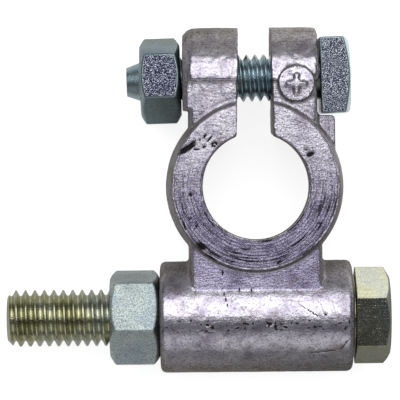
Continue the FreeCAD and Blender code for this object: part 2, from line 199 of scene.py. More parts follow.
def corner_blank(flats, sides, start, length, both_ends, slope=30):
    """The turned blank that a prism is intersected with: a cone at its +X end, and at the other end if asked."""
    inner = flats / 2 * BEVEL_SHARE
    outer = flats / 2 / math.cos(math.pi / sides) + BLANK_MARGIN
    depth = (outer - inner) * math.tan(math.radians(slope))
    end = start + length
    if both_ends:
        profile = [(start, 0), (start, inner), (start + depth, outer)]
    else:
        profile = [(start - MM, 0), (start - MM, outer)]
    return turned("blank", profile + [(end - depth, outer), (end, inner), (end, 0)])


def soften(piece, width=EDGE):
    """Round the sharp edges of a piece a little."""
    return finish_with(piece, "BEVEL", width=width, segments=3, limit_method="ANGLE", angle_limit=SHARP_FROM)


def smooth(piece):
    """Shade a piece smooth between its sharp edges, and keep its flats flat right up to their rounded rims."""
    only(piece)
    bpy.ops.object.shade_smooth_by_angle(angle=SHARP_FROM)
    return finish_with(piece, "WEIGHTED_NORMAL", keep_sharp=True)


# %% [markdown]
# ## Screw threads
#
# A thread is one ridge that winds round the bar. The Screw modifier makes it from the outline of one ridge:
# a full turn moves it along by one pitch. Two bisecting cuts close its ends. Rolled threads have a round root
# and a slightly rounded crest, so the outline has both. The ridge is right-handed, as on nearly all bolts.

# %% A threaded bar
RIDGE = [(0.0, 0.0), (0.08, 0.03), (0.14, 0.13), (0.38, 0.86), (0.43, 0.97), (0.5, 1.0)]
TURN_STEPS = 72


def ridge_outline(radius, pitch, offset):
    """Corners of one ridge, from root to root, moved along by offset."""
    root = radius - THREAD_DEPTH * pitch
    rise = [(share, root + height * (radius - root)) for share, height in RIDGE]
    fall = [(1 - share, height) for share, height in reversed(rise[:-1])]
    return [(offset + share * pitch, height) for share, height in rise + fall]


def threaded_bar(name, radius, pitch, start, end):
    """A closed bar along X, from start to end, with a right-handed thread. A root lies at x = 0 on the +Y side."""
    first_ridge = math.floor(start / pitch) - 1
    turns = math.ceil((end - start) / pitch) + 3
    piece = traced(name, ridge_outline(radius, pitch, first_ridge * pitch))
    finish_with(piece, "SCREW", axis="X", angle=math.tau, screw_offset=pitch, steps=TURN_STEPS,
                render_steps=TURN_STEPS, iterations=turns, use_merge_vertices=True, merge_threshold=0.001 * MM)

    def trim_end():
        bpy.ops.mesh.bisect(plane_co=(end, 0, 0), plane_no=(1, 0, 0), use_fill=True, clear_outer=True)

    def trim_start():
        bpy.ops.mesh.bisect(plane_co=(start, 0, 0), plane_no=(-1, 0, 0), use_fill=True, clear_outer=True)

    in_edit_mode(piece, trim_end)
    in_edit_mode(piece, trim_start)
    return in_edit_mode(piece, outward)


# %% [markdown]
# ## The stud bolt
#
# A hexagon-head bolt, 3/8 inch with 16 threads to the inch, goes through the barrel from the right. Its last
# inch is threaded. It is built with the bearing face at zero and its shank towards minus X, and then placed.
# The thread is cut in a blank with a turned tip, so its first ridge runs out over the bevel as on a real one.

# %% Build the stud bolt
def root_radius(size):
    """The radius at the bottom of a bolt's thread."""
    return size["radius"] - THREAD_DEPTH * size["pitch"]


def threaded_end(name, size, tip_corners):
    """The threaded end of a bolt: a threaded bar from its tip, intersected with a blank that has the tip's form."""
    tip = -size["length"]
    bar = threaded_bar(name, size["radius"], size["pitch"], tip - MM, tip + THREAD_LENGTH)
    clear = size["radius"] + MM
    last_ridge = tip + THREAD_LENGTH - size["pitch"] / 2
    blank = turned("blank", [(tip, 0)] + tip_corners + [(last_ridge, clear), (last_ridge, 0)])
    return combine(bar, blank, "INTERSECT")


def plain_shank(size):
    """The plain part of a bolt's shank: it starts inside the thread, at its root, and ends inside the head."""
    start = -size["length"] + THREAD_LENGTH - size["pitch"]
    return turned("plain_shank", [(start, 0), (start, root_radius(size)), (start + MM, size["radius"]),
                                  (MM, size["radius"]), (MM, 0)])


STUD_HEAD_TURN = math.radians(36.5)
STUD_TIP_BEVEL = 1.05 * MM
WASHER_FACE = 0.4 * MM
hexagon = STUD["head"] - WASHER_FACE
washer_radius = STUD["flats"] / 2 * BEVEL_SHARE
washer_top = WASHER_FACE + 0.1 * MM
stud_tip = -STUD["length"]

stud_bolt = prism("long_stud_bolt", STUD["flats"], 6, STUD_HEAD_TURN, WASHER_FACE, hexagon)
combine(stud_bolt, corner_blank(STUD["flats"], 6, WASHER_FACE, hexagon, False), "INTERSECT")
washer = turned("washer_face", [(-0.3 * MM, 0), (0, STUD["radius"] + MM), (0, washer_radius),
                                (washer_top, washer_radius), (washer_top, 0)])
combine(stud_bolt, washer, "UNION")
soften(stud_bolt)
combine(stud_bolt, plain_shank(STUD), "UNION")
tip_corners = [(stud_tip, root_radius(STUD) - 0.05 * MM), (stud_tip + STUD_TIP_BEVEL, STUD["radius"] + 0.1 * MM)]
combine(stud_bolt, threaded_end("stud_thread", STUD, tip_corners), "UNION")
smooth(stud_bolt)
settle(stud_bolt, place=(BARREL_END, BARREL_Y, MID_Z))
print("stud bolt:", len(stud_bolt.data.polygons), "faces")

# %% [markdown]
# ## The clamp bolt
#
# The clamp bolt has a square head and 18 threads to the inch. A lug under the head keeps it from turning. Its
# tip is a blunt cone, below which the first ridge starts at once. The bolt leans a little in its wide holes.

# %% Build the clamp bolt
CLAMP_HEAD_TURN = math.radians(1.3)
HEAD_SLOPE = 18
POINT_RADIUS = 2.4 * MM
POINT_LENGTH = 2.1 * MM
clamp_tip = -CLAMP["length"]

clamp_bolt = prism("square_clamp_bolt", CLAMP["flats"], 4, CLAMP_HEAD_TURN, 0, CLAMP["head"])
combine(clamp_bolt, corner_blank(CLAMP["flats"], 4, 0, CLAMP["head"], False, slope=HEAD_SLOPE), "INTERSECT")
soften(clamp_bolt, width=SQUARE_EDGE)
combine(clamp_bolt, plain_shank(CLAMP), "UNION")
tip_corners = [(clamp_tip, POINT_RADIUS), (clamp_tip + POINT_LENGTH, root_radius(CLAMP) + 0.05 * MM),
               (clamp_tip + POINT_LENGTH + 0.5 * MM, CLAMP["radius"] + 0.1 * MM)]
combine(clamp_bolt, threaded_end("clamp_thread", CLAMP, tip_corners), "UNION")
smooth(clamp_bolt)
bolt_seat = (EAR_RIGHT + SEAT_LIFT) / math.cos(CLAMP_TILT)
along = Vector((math.cos(CLAMP_TILT), math.sin(CLAMP_TILT), 0))
settle(clamp_bolt, place=Vector((0, CLAMP_Y, MID_Z)) + along * bolt_seat, turn=(0, 0, CLAMP_TILT))
print("clamp bolt:", len(clamp_bolt.data.polygons), "faces")

# %% [markdown]
# ## The two nuts
#
# Both nuts are hexagons with their corners turned off at each face. Their holes are countersunk and tapped: a
# threaded bar, a twentieth of a millimetre larger than the bolt, is cut away. The bar is moved by the distance
# between the two seats, so that the thread in the nut runs in step with the one on its bolt.

# %% Build the nuts
NUT_THREAD_SHARE = 0.9
COUNTERSINK = 0.25 * MM
STUD_NUT_TURN, CLAMP_NUT_TURN = math.radians(13), math.radians(24)


def nut(name, size, turn, seat_distance):
    """A tapped hexagon nut with its seat at x = 0, which runs to -X; its bolt's seat lies seat_distance to +X."""
    thick = size["nut"]
    piece = prism(name, size["flats"], 6, turn, -thick, thick)
    combine(piece, corner_blank(size["flats"], 6, -thick, thick, True), "INTERSECT")
    soften(piece, width=NUT_EDGE)
    outer = size["radius"] + NUT_PLAY
    inner = outer - NUT_THREAD_SHARE * THREAD_DEPTH * size["pitch"]
    mouth = outer + COUNTERSINK
    sink = mouth - inner
    hole = turned("hole", [(MM, 0), (MM, mouth), (0, mouth), (-sink, inner), (sink - thick, inner),
                           (-thick, mouth), (-thick - MM, mouth), (-thick - MM, 0)])
    combine(piece, hole, "DIFFERENCE")
    tap = threaded_bar("tap", outer, size["pitch"], -thick - MM - seat_distance, MM - seat_distance)
    settle(tap, place=(seat_distance, 0, 0))
    return smooth(combine(piece, tap, "DIFFERENCE"))


nut_seat = -(BOSS_FACE + SEAT_LIFT) / math.cos(CLAMP_TILT)
stud_nut = nut("hex_stud_nut", STUD, STUD_NUT_TURN, 2 * BARREL_END)
settle(stud_nut, place=(-BARREL_END, BARREL_Y, MID_Z))
clamp_nut = nut("hex_clamp_nut", CLAMP, CLAMP_NUT_TURN, bolt_seat - nut_seat)
settle(clamp_nut, place=Vector((0, CLAMP_Y, MID_Z)) + along * nut_seat, turn=(0, 0, CLAMP_TILT))
print("nuts:", len(stud_nut.data.polygons), len(clamp_nut.data.polygons), "faces")

# %% [markdown]
# ## The casting
#
# Lead alloy is poured into a steel mould. Its edges come out round, its faces are slightly uneven, and cold
# metal leaves pits and folds. The solid's own shape is right but too crisp. So a copy of it is merged, remeshed
# in small cells and smoothed, which rounds every edge and fills every inner corner. Its skin is then displaced.

# %% Copy the solid, and add the mark on its disc
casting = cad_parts["clamp_casting"].copy()
casting.data = casting.data.copy()
casting.name = "cast_clamp"
bpy.context.scene.collection.objects.link(casting)
in_edit_mode(casting, outward)
DISC = Vector((6.85 * MM, CLAMP_Y - 1.4 * MM, MID_Z + 8.9 * MM))
BAR_LONG, BAR_WIDE = 3.4 * MM, 0.8 * MM


def bar_mark(size):
    """One raised bar of the plus sign on the disc."""
    bpy.ops.mesh.primitive_cube_add(size=1, location=DISC, scale=size)
    bar = bpy.context.object
    return settle(bar, place=bar.location)


bpy.ops.object.select_all(action="DESELECT")
marks = [bar_mark((BAR_LONG, BAR_WIDE, BAR_WIDE)), bar_mark((BAR_WIDE, BAR_LONG, BAR_WIDE))]
only(casting)
for mark in marks:
    mark.select_set(True)
bpy.ops.object.join()

# %% Remesh and smooth the casting
CELL = 0.25 * MM
finish_with(casting, "REMESH", mode="VOXEL", voxel_size=CELL, use_smooth_shade=True)
finish_with(casting, "SMOOTH", factor=0.5, iterations=2)
print("casting:", len(casting.data.polygons), "faces after the remesh")

# %% [markdown]
# ## Pits, folds and dents
#
# The upper side carries the marks of a rough life. Each one is an ellipse: its centre, its two half-widths, its
# turn and its depth. A hollow has an island in its middle, where cold metal stood proud of the rest. The same
# ellipses say where dirt sits and where the hollows are painted dark as shade, and that share is kept on the mesh
# for the material to use.

# %% The marks, in millimetres and degrees
MARKS = [
    ("pit", -11.25, 6.30, 1.45, 0.42, 24, 0.34),
    ("pit", -12.30, 5.50, 0.95, 0.15, 12, 0.18),
    ("pit", -10.50, 7.10, 1.00, 0.16, 36, 0.16),
    ("pit", -9.70, 6.10, 0.75, 0.14, 8, 0.14),
    ("pit", -8.30, 8.30, 0.55, 0.18, 62, 0.16),
    ("pit", -7.60, 7.75, 0.80, 0.13, 50, 0.14),
    ("pit", -8.50, 6.50, 0.40, 0.20, 20, 0.14),
    ("pit", -9.20, 7.60, 0.36, 0.14, 75, 0.12),
    ("hollow", -6.75, 6.95, 0.50, 0.42, 0, 0.12),
    ("pit", -10.75, -1.35, 0.24, 0.36, 20, 0.14),
    ("pit", -11.80, -6.40, 0.16, 0.90, 14, 0.12),
    ("pit", -10.90, -5.30, 0.60, 0.12, 40, 0.10),
    ("pit", -9.90, -6.60, 0.14, 0.55, -30, 0.10),
    ("pit", 8.95, 5.09, 0.60, 0.34, 25, 0.20),
    ("pit", 8.30, 5.90, 0.22, 0.18, 0, 0.12),
    ("pit", -9.05, -9.75, 0.95, 0.46, -22, 0.22),
    ("pit", -6.95, -11.10, 1.40, 0.17, -28, 0.12),
    ("pit", -7.60, -11.60, 1.10, 0.15, -30, 0.10),
    ("pit", -4.10, -12.30, 1.20, 0.13, -14, 0.09),
    ("pit", -5.60, -14.30, 0.14, 0.60, 8, 0.10),
    ("pit", -2.80, -16.80, 0.10, 0.65, -12, 0.07),
    ("pit", -0.90, -17.10, 0.10, 0.45, 10, 0.07),
    ("pit", 10.50, -27.40, 2.80, 0.09, 6, 0.06),
    ("pit", 14.40, -26.20, 1.30, 0.09, 52, 0.06),
    ("pit", 9.00, -20.80, 2.40, 0.08, -33, 0.06),
    ("pit", -5.20, -18.30, 0.09, 1.60, 15, 0.07),
    ("pit", -8.20, -22.70, 0.32, 0.26, 0, 0.14),
    ("pit", 2.00, -22.60, 0.40, 0.26, 10, 0.16),
    ("pit", 4.60, -23.20, 0.46, 0.20, -15, 0.12),
    ("pit", 5.60, -22.50, 0.24, 0.20, 0, 0.12),
    ("pit", -3.30, -23.30, 0.38, 0.17, 20, 0.12),
    ("pit", 10.40, -6.20, 0.26, 0.20, 0, 0.10),
    ("pit", 3.60, -12.60, 0.42, 0.20, 40, 0.10),
    ("pit", 11.20, -21.20, 0.26, 0.20, 0, 0.08),
]


def inside_ellipse(x, y, mark):
    """Distance from the mark's centre, as a share of its half-widths: 1 lies on its rim."""
    _, middle_x, middle_y, half_long, half_wide, turn, _ = mark
    cosine, sine = math.cos(math.radians(turn)), math.sin(math.radians(turn))
    along = ((x - middle_x) * cosine + (y - middle_y) * sine) / half_long
    across = ((y - middle_y) * cosine - (x - middle_x) * sine) / half_wide
    return np.hypot(along, across)


def mark_share(x, y, ripple, mark):
    """How fully a mark works at each point, from 0 to 1; the ripple frays its rim."""
    share = inside_ellipse(x, y, mark) * (1 + 0.35 * ripple)
    if mark[0] == "hollow":
        return np.clip((share - 0.4) / 0.14, 0, 1) * np.clip((1.1 - share) / 0.14, 0, 1)
    return np.clip(1.35 - share, 0, 1) ** 0.7


def noise_at(points, size, seed):
    """Smooth noise from -1 to 1 at each point, with blotches of about the given size in millimetres."""
    shift = Vector((seed, 2 * seed, 3 * seed))
    return np.array([noise.noise(Vector(point) / (size * MM) + shift) for point in points])


# %% Read a skin, and find the marks on it
UPWARD = 0.55
BORE_REACH = 8.9
RIPPLE_SIZE, RIPPLE_SEED = 1.1, 7.7


def skin_of(mesh):
    """The places and the normals of a mesh's points, as rows of three numbers."""
    places = np.empty(len(mesh.vertices) * 3)
    normals = np.empty(len(mesh.vertices) * 3)
    mesh.vertices.foreach_get("co", places)
    mesh.vertices.foreach_get("normal", normals)
    return places.reshape(-1, 3), normals.reshape(-1, 3)


def marks_on(places, normals):
    """The depth of the marks in millimetres and the share of dirt and painted shade in them, on the upper side
    only.
    """
    x, y, z = (places / MM).T
    upper = (normals[:, 2] > UPWARD) & (np.hypot(x, y) > BORE_REACH)
    ripple = noise_at(places, RIPPLE_SIZE, RIPPLE_SEED)
    shares = [mark_share(x, y, ripple, mark) * upper for mark in MARKS]
    return sum(mark[6] * share for mark, share in zip(MARKS, shares)), np.max(shares, axis=0)


# %% Move the skin inwards
# How deep each size of unevenness goes, in millimetres: all over, and what the ears have besides.
SWELL, RIPPLE, GRIT = 0.035, 0.02, 0.012
EAR_RIPPLE, EAR_GRIT = 0.06, 0.03
EARS_FROM, EARS_OVER = 11, 6

places, normals = skin_of(casting.data)
x, y, z = (places / MM).T
swell = noise_at(places, 4.0, 3.1)
ripple = noise_at(places, RIPPLE_SIZE, RIPPLE_SEED)
grit = noise_at(places, 0.55, 1.3)
ears = np.clip((y - EARS_FROM) / EARS_OVER, 0, 1)

depth = SWELL * (1 + swell) + RIPPLE * (1 + ripple) + GRIT * (1 + grit)
depth += ears * (EAR_RIPPLE * (1 + ripple) + EAR_GRIT * (1 + grit))
depth += marks_on(places, normals)[0]
casting.data.vertices.foreach_set("co", (places - normals * (depth * MM)[:, None]).ravel())
casting.data.update()
finish_with(casting, "DECIMATE", ratio=0.6)
print("deepest mark:", round(depth.max(), 2), "mm; triangles:", len(casting.data.polygons))

# %% Keep the dirt and the painted shade on the mesh
# Painted shade lines the disc's rim and the foot of the ring's outer wall; dirt lies in specks along the barrel's
# top.
DISC_RIM, RING_RADIUS, BARREL_TOP_Y = 3.05, 15.0, -22.9


def band(distance, width):
    """One on a line and fading to both sides of it; the distance and the width are in millimetres."""
    return np.exp(-(distance / width) ** 2)


places, normals = skin_of(casting.data)
x, y, z = (places / MM).T
dirt_and_painted_shade = marks_on(places, normals)[1]
rim = np.hypot(x - DISC.x / MM, y - DISC.y / MM)
# A painted shade line in the crease round the disc, and painted shade at the foot of the ring's outer wall.
dirt_and_painted_shade = np.maximum(dirt_and_painted_shade, 0.55 * band(rim - DISC_RIM, 0.15) * (z > -1.2))
ring_foot = band(np.hypot(x, y) - RING_RADIUS, 0.25) * (z < -1.0) * (np.abs(x) < 10.4)
dirt_and_painted_shade = np.maximum(dirt_and_painted_shade, 0.4 * ring_foot)
speck = np.clip((noise_at(places, 0.5, 4.4) + 0.5 * noise_at(places, 2.2, 9.1) - 0.28) / 0.2, 0, 1)
barrel_strip = band(y - BARREL_TOP_Y, 1.3) * (z > -6)
dirt_and_painted_shade = np.maximum(dirt_and_painted_shade, speck * barrel_strip)
layer = casting.data.attributes.new("dirt_and_painted_shade", "FLOAT", "POINT")
layer.data.foreach_set("value", dirt_and_painted_shade.astype(np.float32))

# %% [markdown]
# ## Floor, light and camera
#
# The camera looks straight down from 40 cm, with a long lens. A large soft lamp hangs above, tipped towards the
# ears, and puts a bright band along every round part. A weaker one fills in from the other side, and a faint one
# stands low beyond the ears. The floor and the sky glow white for the camera. In the metal's reflections the floor
# shows a painted reflection instead: a darker grey paper, and a glow that is dim on the barrel's side as painted
# shadow and lightest beyond the ears to the right as painted light. Those tones are tuned.

# %% Colours, nodes and materials
def linear(text):
    """A colour given as #rrggbb, in the linear values that Blender's sockets take."""
    parts = [int(text[place:place + 2], 16) / 255 for place in (1, 3, 5)]
    return tuple(part / 12.92 if part <= 0.04045 else ((part + 0.055) / 1.055) ** 2.4 for part in parts) + (1.0,)


def add_node(tree, kind, values=None, links=None, stops=None, **settings):
    """Add one node: its settings, the numbers in its sockets, the sockets it is fed from, and a ramp's stops."""
    node = tree.nodes.new(kind)
    for name, setting in settings.items():
        setattr(node, name, setting)
    for name, number in (values or {}).items():
        node.inputs[name].default_value = number
    for name, source in (links or {}).items():
        tree.links.new(source, node.inputs[name])
    if stops:
        while len(node.color_ramp.elements) < len(stops):
            node.color_ramp.elements.new(0.5)
        for element, (place, colour) in zip(node.color_ramp.elements, stops):
            element.position = place
            element.color = linear(colour) if isinstance(colour, str) else (colour, colour, colour, 1)
    return node


def new_material(name):
    """An empty material's node tree, with its output."""
    material = bpy.data.materials.new(name)
    material.use_nodes = True
    material.node_tree.nodes.clear()
    output = add_node(material.node_tree, "ShaderNodeOutputMaterial")
    return material, material.node_tree, output


def dress(piece, material):
    """Give a piece one material."""
    piece.data.materials.clear()
    piece.data.materials.append(material)


# %% Floor
FLOOR_SIZE = 3
FLOOR_GAP = 0.05 * MM

paper, tree, output = new_material("matt_white_paper")
rays = add_node(tree, "ShaderNodeLightPath")
through = add_node(tree, "ShaderNodeMath", operation="MAXIMUM",
                   links={0: rays.outputs["Is Glossy Ray"], 1: rays.outputs["Is Transmission Ray"]})
sweep = add_node(tree, "ShaderNodeSeparateXYZ",
                 links={"Vector": add_node(tree, "ShaderNodeTexCoord").outputs["Object"]})
# For reflections only, the floor glows as a painted reflection: dim on the barrel's side as painted shadow, bright
# beyond the ears as painted light.
painted_reflection_near = add_node(tree, "ShaderNodeMapRange",
                     values={"From Min": -10 * MM, "From Max": 10 * MM, "To Min": 0.26, "To Max": 0.03},
                     links={"Value": sweep.outputs["X"]})
painted_reflection_far = add_node(tree, "ShaderNodeMapRange",
                    values={"From Min": -10 * MM, "From Max": 10 * MM, "To Min": 0.42, "To Max": 1.1},
                    links={"Value": sweep.outputs["X"]})
painted_reflection_sweep = add_node(tree, "ShaderNodeMapRange", values={"From Min": -20 * MM, "From Max": 30 * MM},
                    links={"Value": sweep.outputs["Y"], "To Min": painted_reflection_near.outputs[0],
                           "To Max": painted_reflection_far.outputs[0]})
painted_reflection_strength = add_node(tree, "ShaderNodeMath", operation="MULTIPLY", links={0: through.outputs[0], 1: painted_reflection_sweep.outputs[0]})
glow_strength = add_node(tree, "ShaderNodeMath", operation="MULTIPLY_ADD", values={1: 0.8},
                         links={0: rays.outputs["Is Camera Ray"], 2: painted_reflection_strength.outputs[0]})
glow = add_node(tree, "ShaderNodeEmission", values={"Color": (1, 1, 1, 1)},
                links={"Strength": glow_strength.outputs[0]})
# Reflections also see a darker grey copy of the paper, as painted shade.
paper_with_painted_shade = add_node(tree, "ShaderNodeMix", data_type="RGBA", values={6: linear("#ececec"), 7: linear("#a8a8a8")},
                      links={0: through.outputs[0]})
matt = add_node(tree, "ShaderNodeBsdfDiffuse", links={"Color": paper_with_painted_shade.outputs[2]})
both = add_node(tree, "ShaderNodeAddShader", links={0: glow.outputs[0], 1: matt.outputs[0]})
tree.links.new(both.outputs[0], output.inputs["Surface"])

bpy.ops.object.select_all(action="DESELECT")
bpy.ops.mesh.primitive_plane_add(size=FLOOR_SIZE, location=(0, 0, FLOOR_Z - FLOOR_GAP))
floor = bpy.context.object
floor.name = "floor"
dress(floor, paper)

# %% World and lamps
SKY_SEEN, SKY_LIGHT = 1.1, 0.14
LAMP_DISTANCE, LAMP_WIDTH = 0.6, 0.8

world = bpy.data.worlds.new("studio")
bpy.context.scene.world = world
world.use_nodes = True
sky = world.node_tree.nodes["Background"]
sky.inputs["Color"].default_value = linear("#f2f4f8")
seen = add_node(world.node_tree, "ShaderNodeLightPath")
sky_strength = add_node(world.node_tree, "ShaderNodeMath", operation="MULTIPLY_ADD",
                        values={1: SKY_SEEN, 2: SKY_LIGHT}, links={0: seen.outputs["Is Camera Ray"]})
world.node_tree.links.new(sky_strength.outputs[0], sky.inputs["Strength"])


def soft_box(name, tilt, distance, width, depth, radiance):
    """A rectangular lamp above the object, tipped from the vertical towards +Y, aimed at the object."""
    lamp = bpy.data.lights.new(name, "AREA")
    lamp.shape = "RECTANGLE"
    lamp.size = width
    lamp.size_y = depth
    lamp.energy = radiance * math.pi * width * depth
    holder = bpy.data.objects.new(name, lamp)
    holder.location = (0, math.sin(tilt) * distance, math.cos(tilt) * distance)
    holder.rotation_euler = (-tilt, 0, 0)
    bpy.context.scene.collection.objects.link(holder)


soft_box("key_light", math.radians(22.6), LAMP_DISTANCE, LAMP_WIDTH, depth=0.51, radiance=1.42)
soft_box("fill_light", math.radians(-53), LAMP_DISTANCE, LAMP_WIDTH, depth=0.42, radiance=0.36)
soft_box("low_card", math.radians(70), LAMP_DISTANCE, LAMP_WIDTH, depth=0.42, radiance=0.11)

# %% Camera
CAMERA_HEIGHT = 400 * MM
lens = bpy.data.cameras.new("camera")
lens.sensor_width = 36
lens.lens = 214.3
lens.clip_start = 0.01
camera = bpy.data.objects.new("camera", lens)
camera.location = (-9.21 * MM, -2.20 * MM, MID_Z + CAMERA_HEIGHT)
camera.rotation_euler = (0, 0, math.radians(-0.55))
bpy.context.scene.collection.objects.link(camera)
bpy.context.scene.camera = camera
bpy.context.scene.view_settings.view_transform = "Standard"

# %% [markdown]
# ## Cast lead
#
# Bright lead alloy is a grainy pale lilac grey. The grains are a third of a millimetre across, and clouds some
# millimetres wide lie over them. Steep walls and the ears' far edge are painted brown-grey: partly tarnish, and
# partly painted shade where they turn away from the light.
# Pits hold dirt and are painted dark as shade too, as are the disc's rim and the foot of the ring's outer wall.
# The ring's face was turned on a lathe: fine circles and short dark streaks run round the bore on its lower half.
# The finest relief is strong on the flats and weak elsewhere.

# %% Scale, and the patterns of the lead
def per_mm(size):
    """A noise scale that gives blotches of a size in millimetres."""
    return 1 / (size * MM)


RING_SPACING = 0.5
lead, tree, output = new_material("cast_lead_alloy")
spot = add_node(tree, "ShaderNodeTexCoord")
place = spot.outputs["Object"]
dirt_and_shade_layer = add_node(tree, "ShaderNodeAttribute", attribute_name="dirt_and_painted_shade")
facing = add_node(tree, "ShaderNodeSeparateXYZ", links={"Vector": spot.outputs["Normal"]})
upright = add_node(tree, "ShaderNodeMath", operation="ABSOLUTE", links={0: facing.outputs["Z"]})
clouds = add_node(tree, "ShaderNodeTexNoise", values={"Scale": per_mm(3.2), "Detail": 3.0, "Roughness": 0.55},
                  links={"Vector": place})
grains = add_node(tree, "ShaderNodeTexNoise", values={"Scale": per_mm(0.34), "Detail": 3.0, "Roughness": 0.7},
                  links={"Vector": place})
crystals = add_node(tree, "ShaderNodeTexVoronoi", values={"Scale": per_mm(0.42)}, links={"Vector": place})
stains = add_node(tree, "ShaderNodeTexNoise", values={"Scale": per_mm(7.0), "Detail": 2.0, "Distortion": 0.6},
                  links={"Vector": place})
# Steep faces are painted brown-grey: partly tarnish, partly painted shade where the walls turn away from the light.
steep_tarnish_and_shade = add_node(tree, "ShaderNodeMapRange", values={"From Min": 0.92, "From Max": 0.5},
                 links={"Value": upright.outputs[0]})
uneven = add_node(tree, "ShaderNodeMapRange", values={"From Min": 0.3, "From Max": 0.6, "To Min": 0.7},
                  links={"Value": clouds.outputs["Fac"]})
height = add_node(tree, "ShaderNodeSeparateXYZ", links={"Vector": place})
# The ears' far edge is painted brown-grey too: painted shade where it curves away from the light, with some
# tarnish.
crown_tarnish_and_shade = add_node(tree, "ShaderNodeMapRange", values={"From Min": 20.2 * MM, "From Max": 23.5 * MM, "To Max": 0.75},
                 links={"Value": height.outputs["Y"]})
tarnish_and_shade_reach = add_node(tree, "ShaderNodeMath", operation="MAXIMUM", links={0: steep_tarnish_and_shade.outputs[0], 1: crown_tarnish_and_shade.outputs[0]})
tarnish_and_painted_shade = add_node(tree, "ShaderNodeMath", operation="MULTIPLY",
                   links={0: tarnish_and_shade_reach.outputs[0], 1: uneven.outputs[0]})

# %% The flats, and the ring's turned face
reach = add_node(tree, "ShaderNodeVectorMath", operation="LENGTH", links={0: place})
near_top = add_node(tree, "ShaderNodeMapRange", values={"From Min": -0.6 * MM, "From Max": -0.3 * MM},
                    links={"Value": height.outputs["Z"]})
in_ring = add_node(tree, "ShaderNodeMapRange", values={"From Min": 14.3 * MM, "From Max": 14.0 * MM},
                   links={"Value": reach.outputs["Value"]})
lower_half = add_node(tree, "ShaderNodeMapRange", values={"From Min": 7 * MM, "From Max": -5 * MM},
                      links={"Value": height.outputs["Y"]})
on_face = add_node(tree, "ShaderNodeMath", operation="MULTIPLY",
                   links={0: near_top.outputs[0], 1: in_ring.outputs[0]})
turned_share = add_node(tree, "ShaderNodeMath", operation="MULTIPLY",
                        links={0: on_face.outputs[0], 1: lower_half.outputs[0]})
off_barrel = add_node(tree, "ShaderNodeMapRange", values={"From Min": -17.4 * MM, "From Max": -16.9 * MM},
                      links={"Value": height.outputs["Y"]})
off_crown = add_node(tree, "ShaderNodeMapRange", values={"From Min": 17.6 * MM, "From Max": 17.1 * MM},
                     links={"Value": height.outputs["Y"]})
between = add_node(tree, "ShaderNodeMath", operation="MULTIPLY",
                   links={0: off_barrel.outputs[0], 1: off_crown.outputs[0]})
level = add_node(tree, "ShaderNodeMapRange", values={"From Min": 0.9, "From Max": 0.985},
                 links={"Value": upright.outputs[0]})
flat = add_node(tree, "ShaderNodeMath", operation="MULTIPLY", links={0: between.outputs[0], 1: level.outputs[0]})
low_flat = add_node(tree, "ShaderNodeMath", operation="MULTIPLY",
                    links={0: flat.outputs[0], 1: lower_half.outputs[0]})

# %% Streaks that run round the bore, and dirt and painted shade with a ragged rim
towards_foot = add_node(tree, "ShaderNodeMath", operation="MULTIPLY", values={1: -1.0},
                        links={0: height.outputs["Y"]})
angle = add_node(tree, "ShaderNodeMath", operation="ARCTAN2",
                 links={0: height.outputs["X"], 1: towards_foot.outputs[0]})
round_way = add_node(tree, "ShaderNodeMath", operation="MULTIPLY", values={1: 0.8 * MM},
                     links={0: angle.outputs[0]})
unrolled = add_node(tree, "ShaderNodeCombineXYZ", links={"X": reach.outputs["Value"], "Y": round_way.outputs[0]})
streaks = add_node(tree, "ShaderNodeTexNoise", values={"Scale": per_mm(0.42), "Detail": 4.0, "Roughness": 0.68},
                   links={"Vector": unrolled.outputs[0]})
frayed = add_node(tree, "ShaderNodeMath", operation="MULTIPLY_ADD", values={1: 0.9, 2: -0.45},
                  links={0: grains.outputs["Fac"]})
ragged = add_node(tree, "ShaderNodeMath", operation="ADD",
                  links={0: dirt_and_shade_layer.outputs["Fac"], 1: frayed.outputs[0]})
dirt_and_shade_mask = add_node(tree, "ShaderNodeMapRange", values={"From Min": 0.22, "From Max": 0.6},
                 links={"Value": ragged.outputs[0]})

# %% The lead's colour
cloud_tone = add_node(tree, "ShaderNodeValToRGB", links={"Fac": clouds.outputs["Fac"]},
                      stops=[(0.28, "#aaa2b2"), (0.44, "#d6d0e0"), (0.6, "#f2eefa"), (0.75, "#c9c1cb")])
grain_tone = add_node(tree, "ShaderNodeValToRGB", links={"Fac": grains.outputs["Fac"]},
                      stops=[(0.33, 0.08), (0.41, 0.5), (0.47, 0.95), (0.6, 1.0)])
grainy = add_node(tree, "ShaderNodeMix", data_type="RGBA", blend_type="MULTIPLY", values={0: 0.62},
                  links={6: cloud_tone.outputs["Color"], 7: grain_tone.outputs["Color"]})
faced = add_node(tree, "ShaderNodeMix", data_type="RGBA", blend_type="MULTIPLY", values={7: linear("#d8d4e8")},
                 links={0: low_flat.outputs[0], 6: grainy.outputs[2]})
streak_tone = add_node(tree, "ShaderNodeValToRGB", links={"Fac": streaks.outputs["Fac"]},
                       stops=[(0.4, 0.08), (0.45, 0.7), (0.49, 1.0)])
streaked = add_node(tree, "ShaderNodeMix", data_type="RGBA", blend_type="MULTIPLY",
                    links={0: turned_share.outputs[0], 6: faced.outputs[2], 7: streak_tone.outputs["Color"]})
contour = add_node(tree, "ShaderNodeValToRGB", links={"Fac": stains.outputs["Fac"]},
                   stops=[(0.5, 0.0), (0.525, 0.42), (0.545, 0.0)])
stained = add_node(tree, "ShaderNodeMix", data_type="RGBA", values={7: linear("#7d746c")},
                   links={0: contour.outputs["Color"], 6: streaked.outputs[2]})
